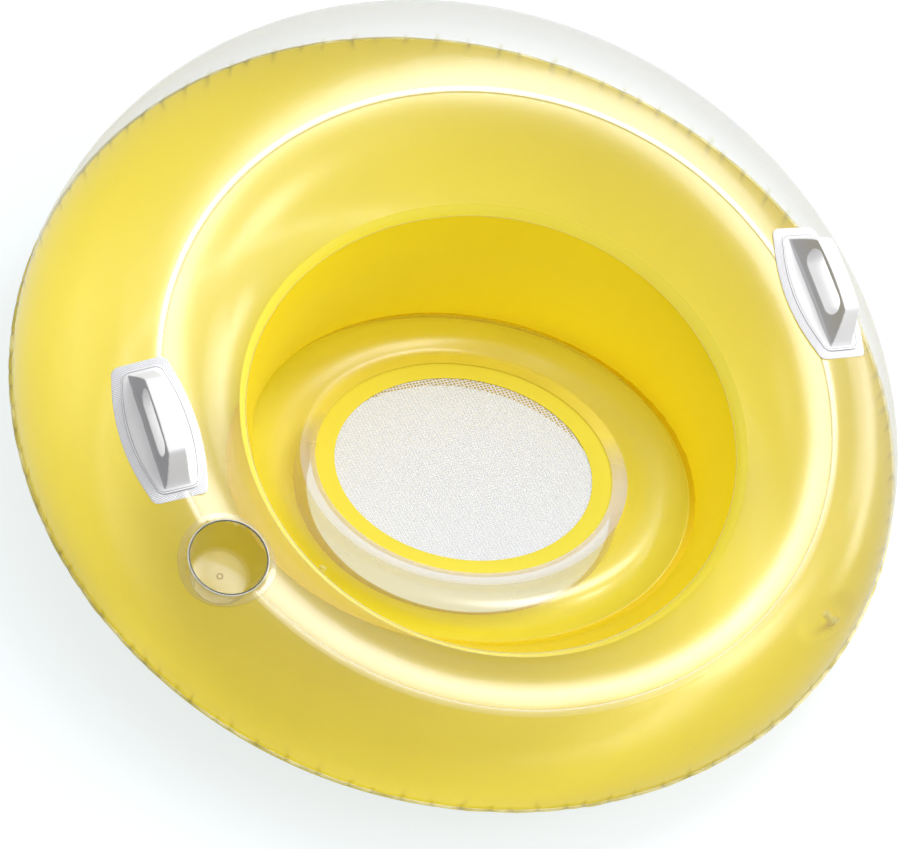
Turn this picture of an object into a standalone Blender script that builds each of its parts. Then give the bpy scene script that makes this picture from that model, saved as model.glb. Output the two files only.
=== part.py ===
"""Inflatable sit-in pool chair, lying on the floor.

A round ring of two welded air chambers. The main ring's tube is thick at the back and thin at
the front, with clear sheets above and yellow sheets below. The seat ring leans back inside it
and holds a net floor. Two white handles and a clear cup are welded on the crown.
The front of the chair faces -Y, the back +Y, and the floor is at Z = 0.
"""
import math

import bmesh
import bpy
from mathutils import Matrix, Vector

# Vinyl sheet and the clearance between sheets that lie on each other
SHEET = 0.0008
GAP = 0.0003
STEP = SHEET + GAP

# Main ring
RING_RADIUS = 0.595
FRONT_TUBE_RADIUS = 0.107
BACK_TUBE_RADIUS = 0.197
SEAM_DROP = math.radians(5)
SEAM_FLANGE = 0.004
FLOOR_STRIP = 0.030

# Crest weld between the two clear sheets, measured inward from the tube's top at the ring's sides
CREST_SHIFT = math.radians(-1.5)
CREST_SWING = math.radians(17)
CREST_LAP = 0.010
LAP_RAMP = 0.006

# Rim weld between the clear sheet and the yellow inner wall, above the tube's mid-height
RIM_RISE = math.radians(34)
RIM_SWING = math.radians(10)
RIM_LAP = 0.018
WALL_BOW_RADIUS = 0.22

# Seat ring, whose plane leans down to the back
SEAT_SHIFT = 0.055
SEAT_HEIGHT = 0.070
SEAT_SLOPE = math.tan(math.radians(11.5))
SEAT_OUTER_RADIUS = 0.312
SEAT_INNER_RADIUS = 0.217
SEAT_RISE = 0.022
SEAT_BACK_WALL = 0.040
SEAT_FRONT_WALL = 0.072
SEAT_CROWN = 0.026
SEAT_BACK_BELLY = 0.003
SEAT_FRONT_BELLY = 0.014
WELD_LIP = 0.008
HEM_BACK_LIP = 0.030
HEM_FRONT_LIP = 0.005
LIP_CLEARANCE = 0.0015

# Seat floor
STRIP_WIDTH = 0.020
FLANGE_WIDTH = 0.032
FLANGE_LAP = 0.006
FLANGE_DROP = 0.002
NET_LAP = 0.016
NET_PITCH = 0.028
NET_STRAND = 0.005

# Handles, by their turn from the front and their lean outward from the tube's top
RIGHT_HANDLE_TURN = math.radians(-85)
RIGHT_HANDLE_LEAN = math.radians(6)
LEFT_HANDLE_TURN = math.radians(87.8)
LEFT_HANDLE_LEAN = math.radians(14.8)
PATCH_LENGTH = 0.196
PATCH_END_WIDTH = 0.070
PATCH_MIDDLE_WIDTH = 0.104
PATCH_CORNER = 0.012
PATCH_BORDER = 0.010
GRIP_END_CLEARANCE = 0.006
GRIP_LENGTH = PATCH_LENGTH - 2 * (PATCH_BORDER + GRIP_END_CLEARANCE)
GRIP_TOP_LENGTH = 0.104
GRIP_FOOT_WIDTH = 0.034
GRIP_TOP_WIDTH = 0.024
GRIP_HEIGHT = 0.054
GRIP_EDGE = 0.0035
SLOT_LENGTH = 0.094
SLOT_HEIGHT = 0.032
SLOT_TOP_WALL = 0.007
FOOT_DEPTH = 0.030

# Cup holder, by the same two angles
CUP_TURN = math.radians(-61.9)
CUP_LEAN = math.radians(8.6)
CUP_RADIUS = 0.050
CUP_BASE_RADIUS = 0.0405
CUP_DEPTH = 0.066
CUP_WALL = 0.0010
CUP_COLLAR = 0.005
CUP_RIM_HEIGHT = 0.003
CUP_RIM_WIDTH = 0.002
CUP_FLANGE_RADIUS = 0.064

# Inflation valves, by their turn from the front
MAIN_VALVE_TURN = math.radians(45)
SEAT_VALVE_TURN = math.radians(-56)
VALVE_FLANGE_RADIUS = 0.0140
VALVE_FLANGE = 0.0010
SOCKET_RADIUS = 0.0070
SOCKET_DEPTH = 0.005
STEM_RADIUS = 0.0052
STEM_BORE = 0.0036
STEM_LENGTH = 0.020
STEM_COLLAR_RADIUS = 0.0080
STEM_COLLAR = 0.0015
PLUG_LENGTH = 0.009
PLUG_CAP_RADIUS = 0.0070
PLUG_CAP = 0.0016
FLAP_RADIUS = 0.0048
FLAP_THICKNESS = 0.0008

# Facets: turns round the ring, and steps along each sheet's section
TURNS = 48
OUTER_STEPS = 6
INNER_STEPS = 3
WALL_STEPS = 5
LOWER_STEPS = 5
BELLY_STEPS = 5
SEAT_STEPS = 6
SEAT_BELLY_STEPS = 3
ROUND_STEPS = 36
VALVE_STEPS = 16

CLEAR = (0.93, 0.93, 0.90)
YELLOW = (0.76, 0.53, 0.02)
WHITE = (0.86, 0.86, 0.87)
NET_WHITE = (0.83, 0.83, 0.84)


def clear_scene():
    for item in list(bpy.data.objects):
        bpy.data.objects.remove(item)


def material(name, colour, roughness, see_through=0.0):
    look = bpy.data.materials.new(name)
    look.use_nodes = True
    shader = look.node_tree.nodes["Principled BSDF"]
    shader.inputs["Base Color"].default_value = (*colour, 1.0)
    shader.inputs["Roughness"].default_value = roughness
    shader.inputs["Metallic"].default_value = 0.0
    shader.inputs["Transmission Weight"].default_value = see_through
    look.diffuse_color = (*colour, 1.0)
    return look


def mix(start, end, share):
    return start + (end - start) * share


def add_object(name, bm, look):
    """Turn a closed bmesh into an object with its faces pointing out."""
    bmesh.ops.recalc_face_normals(bm, faces=bm.faces)
    mesh = bpy.data.meshes.new(name)
    bm.to_mesh(mesh)
    bm.free()
    mesh.shade_smooth()
    mesh.set_sharp_from_angle(angle=math.radians(35))
    mesh.materials.append(look)
    thing = bpy.data.objects.new(name, mesh)
    bpy.context.collection.objects.link(thing)
    return thing


def carve(thing, cutter, operation="DIFFERENCE"):
    """Apply one exact Boolean to the object and take its cutter away."""
    cutter.hide_render = True
    cutter.display_type = "WIRE"
    boolean = thing.modifiers.new("carve", "BOOLEAN")
    boolean.object = cutter
    boolean.operation = operation
    boolean.solver = "EXACT"
    shaped = thing.evaluated_get(bpy.context.evaluated_depsgraph_get())
    mesh = bpy.data.meshes.new_from_object(shaped)
    thing.modifiers.remove(boolean)
    thing.data = mesh
    bpy.data.objects.remove(cutter)


def set_frame(thing, frame):
    """Give the object its own origin and axes, and leave its shape where it is."""
    thing.data.transform(thing.matrix_world.inverted() @ frame.inverted())
    thing.matrix_world = frame


# Section of the main tube, as distance from the ring's axis and height

def tube_radius(turn):
    middle = (BACK_TUBE_RADIUS + FRONT_TUBE_RADIUS) / 2
    swing = (BACK_TUBE_RADIUS - FRONT_TUBE_RADIUS) / 2
    return middle - swing * math.cos(turn)


def tube_centre(turn):
    radius = tube_radius(turn)
    return Vector((RING_RADIUS - radius, radius + SHEET / 2))


def on_tube(turn, angle, lift=0.0):
    """Point on the tube, its angle counted from straight outward over the top."""
    reach = tube_radius(turn) + lift
    return tube_centre(turn) + reach * Vector((math.cos(angle), math.sin(angle)))


def crest_angle(turn):
    return math.pi / 2 + CREST_SHIFT - CREST_SWING * math.cos(turn)


def rim_angle(turn):
    return math.pi - RIM_RISE - RIM_SWING * math.cos(turn)


def crown_angles(turn):
    """Angles of the crown's facet lines, from the outer seam over the crest to the rim."""
    radius = tube_radius(turn)
    first = (STEP / 2) / radius - SEAM_DROP
    lap_start = crest_angle(turn) - CREST_LAP / 2 / radius
    lap_end = crest_angle(turn) + CREST_LAP / 2 / radius
    rim = rim_angle(turn)
    ramp = lap_start - LAP_RAMP / radius
    outer = [mix(first, ramp, k / OUTER_STEPS) for k in range(OUTER_STEPS + 1)]
    under = rim - RIM_LAP / radius
    inner = [mix(lap_end, under, k / INNER_STEPS) for k in range(1, INNER_STEPS + 1)]
    return outer + [lap_start, lap_end] + inner + [rim]


def outer_top_section(turn):
    angles = crown_angles(turn)[:OUTER_STEPS + 3]
    lifts = [0.0] * (OUTER_STEPS + 1) + [STEP, STEP]
    tip = on_tube(turn, angles[0], SEAM_FLANGE)
    return [tip] + [on_tube(turn, angle, lift) for angle, lift in zip(angles, lifts)]


def inner_top_section(turn):
    return [on_tube(turn, angle) for angle in crown_angles(turn)[OUTER_STEPS + 1:]]


def arc_points(start, end, bow, steps):
    """Points after start on a shallow arc to end, raised by bow to the left of the way."""
    way = end - start
    side = Vector((-way.y, way.x)).normalized()
    shares = [k / steps for k in range(1, steps + 1)]
    return [mix(start, end, s) + side * (4 * bow * s * (1 - s)) for s in shares]


def seat_point(turn, radius, lift):
    """Point of the seat ring at a radius about its own axis, lifted from its sloping plane."""
    across = SEAT_SHIFT * math.sin(turn)
    reach = SEAT_SHIFT * math.cos(turn) + math.sqrt(radius ** 2 - across ** 2)
    height = SEAT_HEIGHT + SEAT_SLOPE * (reach * math.cos(turn) - SEAT_SHIFT)
    return Vector((reach, height + lift))


def wall_section(turn):
    angles = crown_angles(turn)[-2:]
    upper = [on_tube(turn, angle, -STEP) for angle in angles]
    foot = seat_point(turn, SEAT_OUTER_RADIUS, 1.5 * STEP)
    bow = (foot - upper[-1]).length ** 2 / (8 * WALL_BOW_RADIUS)
    lip = seat_point(turn, SEAT_OUTER_RADIUS - WELD_LIP, 1.5 * STEP)
    return upper + arc_points(upper[-1], foot, -bow, WALL_STEPS) + [lip]


def lower_section(turn):
    radius = tube_radius(turn)
    first = -(STEP / 2) / radius - SEAM_DROP
    centre = tube_centre(turn)
    last = -math.pi / 2 + FLOOR_STRIP / radius
    arc = [on_tube(turn, mix(first, last, k / LOWER_STEPS)) for k in range(LOWER_STEPS + 1)]
    strip_start = Vector((centre.x + FLOOR_STRIP / 2, SHEET / 2))
    strip_end = Vector((centre.x - FLOOR_STRIP / 2, SHEET / 2))
    foot = seat_point(turn, SEAT_OUTER_RADIUS, -1.5 * STEP)
    lip = seat_point(turn, SEAT_OUTER_RADIUS - WELD_LIP, -1.5 * STEP)
    run = strip_end.x - foot.x
    first_pull = strip_end - Vector((0.5 * run, 0.0))
    last_pull = Vector((foot.x + 0.12 * run, mix(SHEET / 2, foot.y, 0.45)))
    belly = []
    for k in range(1, BELLY_STEPS + 1):
        s = k / BELLY_STEPS
        point = strip_end * (1 - s) ** 3 + first_pull * (3 * s * (1 - s) ** 2)
        belly.append(point + last_pull * (3 * s ** 2 * (1 - s)) + foot * s ** 3)
    tip = on_tube(turn, first, SEAM_FLANGE)
    return [tip] + arc + [strip_start, strip_end] + belly + [lip]


def seat_top_section(turn):
    edge = seat_point(turn, SEAT_OUTER_RADIUS, STEP / 2)
    root = seat_point(turn, SEAT_OUTER_RADIUS - WELD_LIP - LIP_CLEARANCE, STEP / 2)
    crown = seat_point(turn, SEAT_INNER_RADIUS, SEAT_RISE + STEP / 2)
    lip = seat_point(turn, SEAT_INNER_RADIUS - STRIP_WIDTH, SEAT_RISE + STEP / 2)
    return [edge, root] + arc_points(root, crown, -SEAT_CROWN, SEAT_STEPS) + [lip]


def seat_hem_lift(turn):
    """Height of the seat wall's lower edge over the seat's plane, deeper at the front."""
    share = (1 + math.cos(turn)) / 2
    return SEAT_RISE - mix(SEAT_BACK_WALL, SEAT_FRONT_WALL, share)


def seat_hem_radius(turn):
    """Inner edge of the hem under the seat wall, which reaches further in at the back."""
    share = (1 + math.cos(turn)) / 2
    return SEAT_INNER_RADIUS - mix(HEM_BACK_LIP, HEM_FRONT_LIP, share)


def seat_wall_section(turn):
    top = SEAT_RISE - STEP / 2
    bottom = seat_hem_lift(turn) + STEP / 2
    return [
        seat_point(turn, SEAT_INNER_RADIUS - STRIP_WIDTH, top),
        seat_point(turn, SEAT_INNER_RADIUS, top),
        seat_point(turn, SEAT_INNER_RADIUS, bottom),
        seat_point(turn, seat_hem_radius(turn), bottom),
    ]


def seat_belly_section(turn):
    bottom = seat_hem_lift(turn) - STEP / 2
    share = (1 + math.cos(turn)) / 2
    belly = mix(SEAT_BACK_BELLY, SEAT_FRONT_BELLY, share)
    edge = seat_point(turn, SEAT_OUTER_RADIUS, -STEP / 2)
    root = seat_point(turn, SEAT_OUTER_RADIUS - WELD_LIP - LIP_CLEARANCE, -STEP / 2)
    hem = seat_point(turn, SEAT_INNER_RADIUS, bottom)
    lip = seat_point(turn, seat_hem_radius(turn), bottom)
    return [edge, root] + arc_points(root, hem, belly, SEAT_BELLY_STEPS) + [lip]


def flange_inner_radius():
    return SEAT_INNER_RADIUS - STRIP_WIDTH + FLANGE_LAP - FLANGE_WIDTH


def flange_section(turn):
    lift = SEAT_RISE - 1.5 * STEP
    outer = SEAT_INNER_RADIUS - STRIP_WIDTH + FLANGE_LAP
    inner = seat_point(turn, flange_inner_radius(), lift - FLANGE_DROP)
    return [seat_point(turn, outer, lift), inner]


def crown_skin_section(lift):
    def section(turn):
        return [on_tube(turn, angle, lift) for angle in crown_angles(turn)[1:]]
    return section


# Solids made from sections

def in_world(point, turn):
    return Vector((point.x * math.sin(turn), -point.x * math.cos(turn), point.y))


def sheet_sides(line, thickness):
    """Both faces of a sheet whose middle runs along the line, mitred at its bends."""
    left = []
    right = []
    for k, point in enumerate(line):
        before = (point - line[k - 1]).normalized() if k else None
        after = (line[k + 1] - point).normalized() if k + 1 < len(line) else None
        before = before or after
        after = after or before
        normal = Vector((-before.y - after.y, before.x + after.x))
        normal /= 1 + before.dot(after)
        left.append(point + normal * (thickness / 2))
        right.append(point - normal * (thickness / 2))
    return left, right


def stitch(bm, rows, closed, size):
    """Join equal rows of points, the first `size` of one face and the rest of the other."""
    last = len(rows) if closed else len(rows) - 1
    for k in range(last):
        row = rows[k]
        following = rows[(k + 1) % len(rows)]
        for i in range(len(row)):
            j = (i + 1) % len(row)
            if i < size:
                bm.faces.new((row[i], row[j], following[j]))
                bm.faces.new((row[i], following[j], following[i]))
            else:
                bm.faces.new((row[i], row[j], following[i]))
                bm.faces.new((row[j], following[j], following[i]))


def ring_sheet(name, section, look, thickness=SHEET):
    """One sheet that runs all the way round the ring."""
    bm = bmesh.new()
    rows = []
    for k in range(TURNS):
        turn = 2 * math.pi * k / TURNS
        left, right = sheet_sides(section(turn), thickness)
        points = left + right[::-1]
        rows.append([bm.verts.new(in_world(point, turn)) for point in points])
    stitch(bm, rows, True, len(rows[0]) // 2)
    return add_object(name, bm, look)


def ring_sector(name, turns, section, look):
    """A closed solid between two turns of the ring, with flat ends."""
    bm = bmesh.new()
    rows = []
    for turn in turns:
        rows.append([bm.verts.new(in_world(point, turn)) for point in section(turn)])
    stitch(bm, rows, False, len(rows[0]) // 2)
    for row in (rows[0], rows[-1]):
        bm.faces.new(row)
    bmesh.ops.triangulate(bm, faces=[face for face in bm.faces if len(face.verts) > 4])
    return add_object(name, bm, look)


def turns_around(turn, reach):
    """The ring's own facet lines that cover a reach to both sides of a turn."""
    step = 2 * math.pi / TURNS
    first = math.floor((turn - reach) / step)
    last = math.ceil((turn + reach) / step)
    return [k * step for k in range(first, last + 1)]


def crown_skin(name, turns, lift, thickness, look):
    def section(turn):
        left, right = sheet_sides(crown_skin_section(lift)(turn), thickness)
        return left + right[::-1]
    return ring_sector(name, turns, section, look)


def tube_core(name, turns, lift, look):
    """Everything inside the crown up to a lift, for trimming what stands on it."""
    def section(turn):
        return crown_skin_section(lift)(turn) + [tube_centre(turn)]
    return ring_sector(name, turns, section, look)


def turned(name, outline, look, steps=ROUND_STEPS):
    """A solid of revolution about Z from (radius, height) corners, from axis to axis or closed."""
    bm = bmesh.new()
    rings = []
    for radius, height in outline:
        if radius == 0:
            rings.append([bm.verts.new((0, 0, height))] * steps)
            continue
        ring = []
        for k in range(steps):
            angle = 2 * math.pi * k / steps
            ring.append(bm.verts.new((radius * math.cos(angle), radius * math.sin(angle), height)))
        rings.append(ring)
    for low, high in zip(rings, rings[1:] + rings[:1]):
        for k in range(steps):
            j = (k + 1) % steps
            corners = list(dict.fromkeys((low[k], low[j], high[j], high[k])))
            if len(corners) > 2:
                bm.faces.new(corners)
    return add_object(name, bm, look)


def prism(name, outline, low, high, look):
    """An outline in X and Y, extruded along Z."""
    bm = bmesh.new()
    base = bm.faces.new([bm.verts.new((x, y, low)) for x, y in outline])
    grown = bmesh.ops.extrude_face_region(bm, geom=[base])
    tops = [item for item in grown["geom"] if isinstance(item, bmesh.types.BMVert)]
    bmesh.ops.translate(bm, vec=(0, 0, high - low), verts=tops)
    return add_object(name, bm, look)


# Places on the crown

def crown_point(turn, lean):
    return in_world(on_tube(turn, math.pi / 2 - lean), turn)


def crown_frame(turn, lean):
    """Axes on the crown: X along the tube, Y across it and Z straight out of it."""
    small = 0.001
    along = crown_point(turn + small, lean) - crown_point(turn - small, lean)
    across = crown_point(turn, lean - small) - crown_point(turn, lean + small)
    out = along.cross(across).normalized()
    along.normalize()
    across = out.cross(along)
    axes = Matrix((along, across, out)).transposed().to_4x4()
    return Matrix.Translation(crown_point(turn, lean)) @ axes


def patch_outline(border):
    """Barrel-shaped outline of a handle's patch, drawn in by a border all round."""
    half = PATCH_LENGTH / 2 - border
    middle = PATCH_MIDDLE_WIDTH / 2 - border
    end = PATCH_END_WIDTH / 2 - border
    corner = PATCH_CORNER
    sweep = half - corner
    xs = [mix(-sweep, sweep, k / 6) for k in range(7)]
    side = [(x, mix(middle, end, (x / half) ** 2)) for x in xs]
    nose = end - corner
    top = [(-half, nose)] + side + [(half, nose)]
    return top + [(x, -y) for x, y in reversed(top)]


def slot_outline():
    radius = SLOT_HEIGHT / 2
    straight = SLOT_LENGTH / 2 - radius
    centre = GRIP_HEIGHT - SLOT_TOP_WALL - radius
    points = []
    for side in (1, -1):
        for k in range(7):
            angle = side * math.pi / 2 - math.pi * k / 6
            x = side * straight + radius * math.cos(angle)
            points.append((x, centre + radius * math.sin(angle)))
    return points


def grip_profile():
    """Side view of the arch: feet below the patch, sloping ends and a softly crowned top."""
    foot = GRIP_LENGTH / 2
    shoulder = GRIP_TOP_LENGTH / 2
    rise = GRIP_HEIGHT - 0.004
    return [
        (-foot, -FOOT_DEPTH), (foot, -FOOT_DEPTH), (foot, 0.002),
        (mix(foot, shoulder, 0.55), rise * 0.62), (shoulder, rise),
        (shoulder * 0.45, GRIP_HEIGHT), (-shoulder * 0.45, GRIP_HEIGHT),
        (-shoulder, rise), (-mix(foot, shoulder, 0.55), rise * 0.62), (-foot, 0.002),
    ]


def arch(name, look):
    """The grip's bar, drawn in towards its top and rounded along its edges."""
    body = prism(name, grip_profile(), -0.5, 0.5, look)
    for vertex in body.data.vertices:
        height = vertex.co.y
        share = min(max(height / GRIP_HEIGHT, 0), 1)
        half = mix(GRIP_FOOT_WIDTH, GRIP_TOP_WIDTH, share) / 2
        vertex.co = (vertex.co.x, -half * 2 * vertex.co.z, height)
    bm = bmesh.new()
    bm.from_mesh(body.data)
    rounded = []
    for edge in bm.edges:
        across = abs(edge.verts[0].co.y - edge.verts[1].co.y)
        above = min(vertex.co.z for vertex in edge.verts) > -FOOT_DEPTH / 2
        if across < GRIP_EDGE and above:
            rounded.append(edge)
    bmesh.ops.bevel(bm, geom=rounded, offset=GRIP_EDGE, segments=2, profile=0.5, affect="EDGES")
    bmesh.ops.recalc_face_normals(bm, faces=bm.faces)
    bm.to_mesh(body.data)
    bm.free()
    slot = prism(name + "_slot", slot_outline(), -GRIP_FOOT_WIDTH, GRIP_FOOT_WIDTH, look)
    slot.data.transform(Matrix.Rotation(math.pi / 2, 4, "X"))
    carve(body, slot)
    return body


def handle(side, turn, lean, look_patch, look_grip):
    """A textured patch welded on the crown, and the moulded grip that stands on it."""
    frame = crown_frame(turn, lean)
    turns = turns_around(turn, PATCH_LENGTH / 2 / (RING_RADIUS - BACK_TUBE_RADIUS))
    patch = crown_skin(side + "_handle_patch", turns, 2 * STEP, SHEET, look_patch)
    outline = prism("outline", patch_outline(0.0), -FOOT_DEPTH, FOOT_DEPTH, look_patch)
    outline.data.transform(frame)
    carve(patch, outline, "INTERSECT")
    set_frame(patch, frame)

    base = crown_skin(side + "_handle_grip", turns, 3 * STEP, SHEET, look_grip)
    outline = prism("outline", patch_outline(PATCH_BORDER), -FOOT_DEPTH, FOOT_DEPTH, look_grip)
    outline.data.transform(frame)
    carve(base, outline, "INTERSECT")
    bar = arch("bar", look_grip)
    bar.data.transform(frame)
    carve(bar, tube_core("core", turns, 3 * STEP, look_grip))
    carve(base, bar, "UNION")
    set_frame(base, frame)


def cup_holder(panels, look):
    """A moulded cup let in through both clear sheets, with a flange that follows the crown."""
    frame = crown_frame(CUP_TURN, CUP_LEAN)
    turns = turns_around(CUP_TURN, CUP_FLANGE_RADIUS / (RING_RADIUS - BACK_TUBE_RADIUS))
    rim = CUP_RADIUS + CUP_RIM_WIDTH
    top = CUP_COLLAR
    outline = [
        (0, top - CUP_DEPTH), (CUP_BASE_RADIUS - 0.002, top - CUP_DEPTH),
        (CUP_BASE_RADIUS, top - CUP_DEPTH + 0.002), (CUP_RADIUS, top - CUP_RIM_HEIGHT),
        (rim, top - CUP_RIM_HEIGHT), (rim, top), (0, top),
    ]
    cavity = [
        (0, top - CUP_DEPTH + CUP_WALL),
        (CUP_BASE_RADIUS - CUP_WALL - 0.002, top - CUP_DEPTH + CUP_WALL),
        (CUP_BASE_RADIUS - CUP_WALL, top - CUP_DEPTH + CUP_WALL + 0.002),
        (CUP_RADIUS - CUP_WALL, top - CUP_RIM_HEIGHT), (CUP_RADIUS - CUP_WALL, top + 0.01),
        (0, top + 0.01),
    ]
    flange = crown_skin("cup_holder", turns, 2 * STEP, SHEET, look)
    disc = turned("disc", [(0, -0.03), (CUP_FLANGE_RADIUS, -0.03), (CUP_FLANGE_RADIUS, 0.03),
                           (0, 0.03)], look)
    disc.data.transform(frame)
    carve(flange, disc, "INTERSECT")
    body = turned("cup_body", outline, look)
    body.data.transform(frame)
    carve(flange, body, "UNION")
    hollow = turned("hollow", cavity, look)
    hollow.data.transform(frame)
    carve(flange, hollow)
    set_frame(flange, frame)
    hole_radius = CUP_RADIUS + GAP
    for panel in panels:
        hole = turned("hole", [(0, -0.03), (hole_radius, -0.03), (hole_radius, 0.03),
                               (0, 0.03)], look)
        hole.data.transform(frame)
        carve(panel, hole)


# Valves

def facet_frame(section, turn, index):
    """Axes on the middle of one facet of a sheet: Z straight out of the chamber."""
    step = 2 * math.pi / TURNS
    start = math.floor(turn / step) * step
    corners = []
    for edge in (start, start + step):
        outside = sheet_sides(section(edge), SHEET)[0]
        corners += [in_world(outside[k], edge) for k in (index, index + 1)]
    middle = sum(corners, Vector()) / 4
    along = (corners[2] + corners[3] - corners[0] - corners[1]).normalized()
    across = (corners[1] + corners[3] - corners[0] - corners[2]).normalized()
    out = across.cross(along).normalized()
    if out.z > 0:
        out = -out
    across = out.cross(along)
    return Matrix.Translation(middle) @ Matrix((along, across, out)).transposed().to_4x4()


def valve(side, panel, frame, look):
    """Base, push-in stem, plug and check flap of one valve, with the sheet's hole."""
    bore = STEM_RADIUS + GAP
    seat = 2 * GAP + VALVE_FLANGE
    collar = seat + GAP
    cap = collar + STEM_COLLAR + GAP
    end = collar - STEM_LENGTH
    outlines = {
        "base": [
            (bore, -SOCKET_DEPTH), (SOCKET_RADIUS, -SOCKET_DEPTH), (SOCKET_RADIUS, 2 * GAP),
            (VALVE_FLANGE_RADIUS, 2 * GAP), (VALVE_FLANGE_RADIUS, seat), (bore, seat),
        ],
        "stem": [
            (STEM_BORE, end), (STEM_RADIUS, end), (STEM_RADIUS, collar),
            (STEM_COLLAR_RADIUS, collar), (STEM_COLLAR_RADIUS, collar + STEM_COLLAR),
            (STEM_BORE, collar + STEM_COLLAR),
        ],
        "plug": [
            (0, cap - PLUG_LENGTH), (STEM_BORE - GAP, cap - PLUG_LENGTH),
            (STEM_BORE - GAP, cap), (PLUG_CAP_RADIUS, cap), (PLUG_CAP_RADIUS, cap + PLUG_CAP),
            (0, cap + PLUG_CAP),
        ],
        "flap": [
            (0, end - GAP - FLAP_THICKNESS), (FLAP_RADIUS, end - GAP - FLAP_THICKNESS),
            (FLAP_RADIUS, end - GAP), (0, end - GAP),
        ],
    }
    hinge = Matrix.Translation((0, -FLAP_RADIUS, end - GAP - FLAP_THICKNESS))
    for part, outline in outlines.items():
        piece = turned(side + "_valve_" + part, outline, look, VALVE_STEPS)
        piece.data.transform(frame)
        set_frame(piece, frame @ hinge if part == "flap" else frame)
    radius = SOCKET_RADIUS + GAP
    hole = turned("hole", [(0, -0.01), (radius, -0.01), (radius, 0.01), (0, 0.01)], look,
                  VALVE_STEPS)
    hole.data.transform(frame)
    carve(panel, hole)


def seat_net(look):
    """A flat round net of square gaps, laid in the seat ring's sloping plane."""
    radius = flange_inner_radius() + NET_LAP
    lift = SEAT_RISE - 2.5 * STEP - FLANGE_DROP
    net = turned("seat_net", [(0, -SHEET / 2), (radius, -SHEET / 2), (radius, SHEET / 2),
                              (0, SHEET / 2)], look, TURNS)
    bm = bmesh.new()
    half = (NET_PITCH - NET_STRAND) / 2
    count = int(radius / NET_PITCH) + 1
    for column in range(-count, count + 1):
        for row in range(-count, count + 1):
            x = column * NET_PITCH
            y = row * NET_PITCH
            if math.hypot(abs(x) + half, abs(y) + half) > radius - NET_STRAND:
                continue
            gap = Matrix.Translation((x, y, 0)) @ Matrix.Diagonal((2 * half, 2 * half, 0.01, 1))
            bmesh.ops.create_cube(bm, size=1, matrix=gap)
    carve(net, add_object("gaps", bm, look))
    for vertex in net.data.vertices:
        x, y, z = vertex.co
        height = SEAT_HEIGHT + SEAT_SLOPE * -y + lift
        vertex.co = (x, y - SEAT_SHIFT, height + z)
    return net


def build():
    clear_scene()
    clear = material("clear_vinyl", CLEAR, 0.12, 0.8)
    yellow = material("yellow_vinyl", YELLOW, 0.25)
    white = material("white_handle", WHITE, 0.45)
    woven = material("white_net", NET_WHITE, 0.7)
    cup_look = material("clear_cup", CLEAR, 0.08, 0.9)
    fitting = material("valve_vinyl", WHITE, 0.35, 0.3)

    outer_top = ring_sheet("outer_top_sheet", outer_top_section, clear)
    inner_top = ring_sheet("inner_top_sheet", inner_top_section, clear)
    ring_sheet("inner_wall_sheet", wall_section, yellow)
    lower = ring_sheet("lower_sheet", lower_section, yellow)
    ring_sheet("seat_top_sheet", seat_top_section, clear)
    ring_sheet("seat_wall_sheet", seat_wall_section, clear)
    belly = ring_sheet("seat_lower_sheet", seat_belly_section, yellow)
    ring_sheet("net_flange", flange_section, yellow)
    seat_net(woven)

    cup_holder((outer_top, inner_top), cup_look)
    handle("right", RIGHT_HANDLE_TURN, RIGHT_HANDLE_LEAN, white, white)
    handle("left", LEFT_HANDLE_TURN, LEFT_HANDLE_LEAN, white, white)

    main_place = facet_frame(lower_section, MAIN_VALVE_TURN, 3)
    valve("main", lower, main_place, fitting)
    seat_place = facet_frame(seat_belly_section, SEAT_VALVE_TURN, 2)
    valve("seat", belly, seat_place, fitting)


build()
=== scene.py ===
"""Looks of the inflatable pool chair: clear and yellow vinyl sheets, net, handles, cup and valves.

Each sheet repeats the section formula of its solid in finer steps, and adds what the solid leaves
out: the puckers along the welds, the lips of the laps and the waves of the film.
A turn is counted from the front of the ring (-Y) towards +X, and all sizes are in metres.
"""
import math
import random

import bmesh
import bpy
from mathutils import Matrix, Vector


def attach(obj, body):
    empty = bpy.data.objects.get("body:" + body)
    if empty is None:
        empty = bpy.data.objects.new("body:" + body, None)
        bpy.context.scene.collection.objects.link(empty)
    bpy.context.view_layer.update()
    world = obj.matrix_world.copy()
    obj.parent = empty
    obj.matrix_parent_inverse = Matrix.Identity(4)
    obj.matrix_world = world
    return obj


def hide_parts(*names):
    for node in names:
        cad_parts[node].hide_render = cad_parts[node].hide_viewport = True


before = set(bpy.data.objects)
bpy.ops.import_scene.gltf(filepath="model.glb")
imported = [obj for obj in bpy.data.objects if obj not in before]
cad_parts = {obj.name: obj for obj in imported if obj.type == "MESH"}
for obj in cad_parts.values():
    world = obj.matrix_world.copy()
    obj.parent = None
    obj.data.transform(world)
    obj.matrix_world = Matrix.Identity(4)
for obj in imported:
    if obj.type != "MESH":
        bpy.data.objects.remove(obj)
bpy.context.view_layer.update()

# Vinyl sheet, and the step between sheets that lie on each other
SHEET = 0.0008
GAP = 0.0003
STEP = SHEET + GAP

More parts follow.
